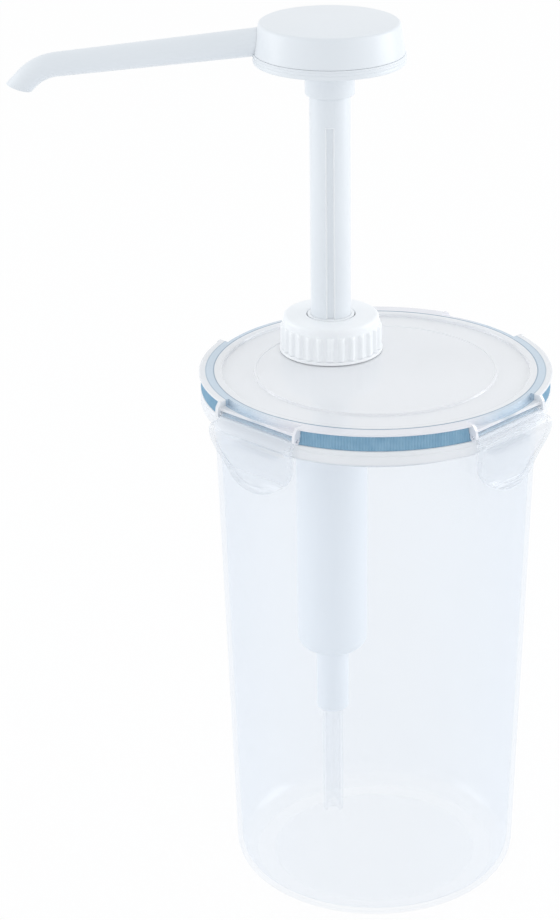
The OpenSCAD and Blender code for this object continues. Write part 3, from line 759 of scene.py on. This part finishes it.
# %% Collar
PUMP = (-16.6, 20.2)
GRIP_RIBS = 28
RIB_R = 1.1
COLLAR_R = 18
SHOULDER_R = 1.5
collar_low, collar_high = (corner.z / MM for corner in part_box("collar"))
collar_roof = collar_high - 2
rib_high = collar_low + 10.3
RIB_FADE = 1.2
collar_profile = eased([
    (16.3, collar_low), (19.3, collar_low), (19.3, collar_low + 0.9), (18.1, collar_low + 1.1),
    (COLLAR_R, collar_low + 1.3)], 0.2)
collar_profile += [(COLLAR_R, rib_high - RIB_FADE + RIB_FADE * sin(radians(a))) for a in range(0, 91, 18)]
collar_profile += arc((COLLAR_R - SHOULDER_R, collar_high - SHOULDER_R), SHOULDER_R, 0, 90, 8)
collar_profile += eased([(13, collar_high), (9.1, collar_high), (9.1, collar_roof), (16.3, collar_roof),
                         (16.3, collar_low)], 0.4)
grip_collar = lathe("grip_collar", collar_profile, sides=12 * GRIP_RIBS, at=PUMP)
pump_axis = Vector((*PUMP, 0)) * MM
for vertex in grip_collar.data.vertices:
    spoke = Vector((vertex.co.x - pump_axis.x, vertex.co.y - pump_axis.y))
    over = (vertex.co.z / MM - (rib_high - RIB_FADE)) / RIB_FADE
    if abs(spoke.length / MM - COLLAR_R) > 0.01 or vertex.co.z / MM < collar_low + 1.2 or over > 1.0001:
        continue
    turn = atan2(spoke.y, spoke.x) / (2 * pi) * GRIP_RIBS
    beside = (turn - round(turn)) * 2 * pi / GRIP_RIBS * COLLAR_R
    rise = sqrt(max(RIB_R ** 2 - beside ** 2, 0)) - 0.1
    fade = sqrt(max(1 - max(over, 0) ** 2, 0))
    if rise > 0:
        vertex.co.xy += spoke.normalized() * rise * fade * MM
# The collar gets the lighter copy of the white plastic: painted light.
finished(grip_collar, painted_light_plastic, "collar", "white_plastic", "collar", sharp=32)

# %% [markdown]
# The stem is a tube with a keyway down its front, which keeps the head from turning. The tube is
# turned, the keyway is cut with a boolean, and a narrow bevel rounds its edges and gives them the
# lighter copy of the white plastic: a painted highlight for the bright lines that moulded edges have.

# %% Stem
STEM_R = 7.5
SPIGOT_R = 5.6
stem_low, stem_high = (corner.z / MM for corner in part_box("stem"))
stem_shoulder = stem_low + 12.4
KEYWAY_TOP = 292
KEYWAY_W = 2.8
KEYWAY_DEPTH = 1.1
stem_profile = eased([
    (4.3, stem_low), (SPIGOT_R, stem_low), (SPIGOT_R, stem_shoulder), (STEM_R, stem_shoulder),
    (STEM_R, stem_high), (3.3, stem_high), (3.3, stem_low + 15), (4.3, stem_low + 14),
    (4.3, stem_low)], 0.3)
pump_stem = lathe("pump_stem", stem_profile, sides=48, at=PUMP)
keyway = bar("keyway", (PUMP[0] - KEYWAY_W / 2, PUMP[1] - STEM_R - 2, stem_shoulder + 12),
             (PUMP[0] + KEYWAY_W / 2, PUMP[1] - STEM_R + KEYWAY_DEPTH, KEYWAY_TOP))
pump_stem.data.materials.append(white_plastic)
pump_stem.data.materials.append(painted_light_plastic)
join_on(pump_stem, keyway, "DIFFERENCE")
# The bevelled edges get the lighter plastic: a painted highlight.
soften(pump_stem, 0.3, edge_material=1)
finished(pump_stem, white_plastic, "plunger", "white_plastic", "stem")

# %% [markdown]
# The return spring is a wire that winds up round the pump's axis, inside the cylinder. It could be a
# bevelled curve. Here a screw modifier sweeps the wire's round section up the helix, because that
# gives a plain mesh whose two open ends are easy to fill. A spring shortens with the stroke, but this
# one keeps the length of the part and moves with the lid.

# %% Return spring
WIRE_R = 0.6
COIL_R = 9.2
COILS = 9
spring_low, spring_high = (corner.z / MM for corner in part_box("return_spring"))
bpy.ops.object.select_all(action="DESELECT")
bpy.ops.mesh.primitive_circle_add(vertices=12, radius=WIRE_R * MM, rotation=(pi / 2, 0, 0),
                                  location=(COIL_R * MM, 0, (spring_low + WIRE_R) * MM))
coil_spring = bpy.context.active_object
coil_spring.name = "coil_spring"
bpy.ops.object.transform_apply(location=True, rotation=True, scale=True)
winding = coil_spring.modifiers.new("winding", "SCREW")
winding.angle = 2 * pi * COILS
winding.screw_offset = (spring_high - spring_low - 2 * WIRE_R) * MM
winding.steps = winding.render_steps = 24 * COILS
winding.use_merge_vertices = False
bpy.ops.object.modifier_apply(modifier=winding.name)
bpy.ops.object.mode_set(mode="EDIT")
bpy.ops.mesh.select_all(action="SELECT")
bpy.ops.mesh.fill_holes(sides=0)
bpy.ops.mesh.select_all(action="SELECT")
bpy.ops.mesh.normals_make_consistent(inside=False)
bpy.ops.object.mode_set(mode="OBJECT")
coil_spring.location = pump_axis
finished(coil_spring, steel, "lid", "steel", "return_spring", sharp=50)
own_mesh(coil_spring)

# %% [markdown]
# The head is two turned parts. The cap is a shallow dish upside down, a little wider at its foot; the
# base carries it, with two fine grooves round its lip and a long boss on the stem. Both have room for
# the spout, cut with a rod along it.

# %% Head cap and base
HEAD_R = 27.6
HEAD_WALL = 2.2
SPOUT_Z = 322.25
head_low, head_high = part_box("head_base")[0].z / MM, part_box("head_cap")[1].z / MM
skirt_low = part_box("head_cap")[0].z / MM
lip_high = skirt_low - 0.1
lip_low = head_high - 14.5
cap_low_r = HEAD_R - 0.45
cap_high_r = HEAD_R - 2
cap_profile = eased([
    (0, head_high - HEAD_WALL), (cap_high_r - HEAD_WALL, head_high - HEAD_WALL),
    (cap_low_r - HEAD_WALL, skirt_low), (cap_low_r, skirt_low)], 0.3)
cap_profile += [(cap_low_r, skirt_low + 0.2)]
cap_profile += arc((cap_high_r - 1.2, head_high - 1.2), 1.2, 8, 90, 8) + [(0, head_high)]
head_cap = lathe("press_cap", cap_profile, sides=160, at=PUMP)


def spout_rod():
    sideways = (0, pi / 2, 0)
    return rod("spout_room", 5.35, 20, (PUMP[0] - 28, PUMP[1], SPOUT_Z - 0.15), sideways, sides=64)


join_on(head_cap, spout_rod(), "DIFFERENCE")
finished(head_cap, white_plastic, "plunger", "white_plastic", "head_cap")

grooves = []
for z in (lip_low + 1.6, lip_low + 2.7):
    grooves += [(HEAD_R, z - 0.35), (HEAD_R - 0.35, z), (HEAD_R, z + 0.35)]
spigot_r = cap_low_r - HEAD_WALL - 0.6
base_profile = eased([
    (7.52, head_low), (9.05, head_low), (9.05, lip_low), (HEAD_R, lip_low), *grooves,
    (HEAD_R - 0.2, lip_high), (spigot_r, lip_high), (spigot_r, lip_high + 2),
    (spigot_r - 1.4, lip_high + 2), (spigot_r - 1.4, lip_low + 1.8), (7.52, lip_low + 1.8),
    (7.52, head_low)], 0.45)
head_base = lathe("head_ring", base_profile, sides=160, at=PUMP)
join_on(head_base, spout_rod(), "DIFFERENCE")
finished(head_base, white_plastic, "plunger", "white_plastic", "head_base", sharp=50)

# %% [markdown]
# The floor and the light. The picture is high-key: the paper is pure white and the shadow under the
# jar is almost gone. The floor is a plain white sheet that also glows for the camera and for rays
# that come through the plastic, so the paper reads white while the soft shadow stays faintly.


# %% Floor and light
def make_paper():
    material, tree = new_material("paper")
    output = add(tree, "ShaderNodeOutputMaterial")
    paper = add(tree, "ShaderNodeBsdfDiffuse")
    paper.inputs["Color"].default_value = (0.95, 0.955, 0.965, 1)
    glow = add(tree, "ShaderNodeEmission")
    glow.inputs["Color"].default_value = (1, 1, 1, 1)
    glow.inputs["Strength"].default_value = 1.0
    path = add(tree, "ShaderNodeLightPath")
    seen = add(tree, "ShaderNodeMath", operation="MAXIMUM")
    link(tree, path.outputs["Is Camera Ray"], seen.inputs[0])
    link(tree, path.outputs["Is Glossy Ray"], seen.inputs[1])
    seen_all = add(tree, "ShaderNodeMath", operation="MAXIMUM")
    link(tree, seen.outputs[0], seen_all.inputs[0])
    link(tree, path.outputs["Is Transmission Ray"], seen_all.inputs[1])
    share = add(tree, "ShaderNodeMath", operation="MULTIPLY")
    share.inputs[1].default_value = 0.95
    link(tree, seen_all.outputs[0], share.inputs[0])
    mixed = add(tree, "ShaderNodeMixShader")
    link(tree, share.outputs[0], mixed.inputs["Fac"])
    link(tree, paper.outputs["BSDF"], mixed.inputs[1])
    link(tree, glow.outputs["Emission"], mixed.inputs[2])
    link(tree, mixed.outputs["Shader"], output.inputs["Surface"])
    return material


bpy.ops.object.select_all(action="DESELECT")
bpy.ops.mesh.primitive_plane_add(size=12, location=(0, 0, 0))
floor = bpy.context.active_object
floor.name = "floor"
floor.data.materials.append(make_paper())

world = bpy.data.worlds.new("world")
bpy.context.scene.world = world
world.use_nodes = True
sky = world.node_tree
sky.nodes.clear()
world_output = add(sky, "ShaderNodeOutputWorld")
light_path = add(sky, "ShaderNodeLightPath")
seen = add(sky, "ShaderNodeMath", operation="MAXIMUM")
link(sky, light_path.outputs["Is Camera Ray"], seen.inputs[0])
link(sky, light_path.outputs["Is Glossy Ray"], seen.inputs[1])
seen_all = add(sky, "ShaderNodeMath", operation="MAXIMUM")
link(sky, seen.outputs[0], seen_all.inputs[0])
link(sky, light_path.outputs["Is Transmission Ray"], seen_all.inputs[1])
backdrop = add(sky, "ShaderNodeBackground")
backdrop.inputs["Color"].default_value = (1, 1, 1, 1)
backdrop.inputs["Strength"].default_value = 1.0
ambient = add(sky, "ShaderNodeBackground")
ambient.inputs["Color"].default_value = (0.95, 0.975, 1.0, 1)
ambient.inputs["Strength"].default_value = 0.88
sky_mix = add(sky, "ShaderNodeMixShader")
link(sky, seen_all.outputs[0], sky_mix.inputs["Fac"])
link(sky, ambient.outputs["Background"], sky_mix.inputs[1])
link(sky, backdrop.outputs["Background"], sky_mix.inputs[2])
link(sky, sky_mix.outputs["Shader"], world_output.inputs["Surface"])


def softbox(name, at, aim, size, power):
    data = bpy.data.lights.new(name, "AREA")
    data.shape = "RECTANGLE"
    data.size, data.size_y = size
    data.energy = power
    lamp = bpy.data.objects.new(name, data)
    lamp.location = at
    lamp.rotation_euler = (Vector(aim) - Vector(at)).to_track_quat("-Z", "Y").to_euler()
    bpy.context.scene.collection.objects.link(lamp)
    return lamp


softbox("right_window", (1.5, 0.25, 0.5), (0, 0, 0.2), (1.0, 1.0), 7)
softbox("left_window", (-1.5, 0.15, 0.5), (0, 0, 0.2), (1.0, 1.0), 4.5)
bpy.context.scene.cycles.transparent_max_bounces = 32

view = bpy.context.scene.view_settings
view.view_transform = "Standard"
print("floor, world and two softboxes")
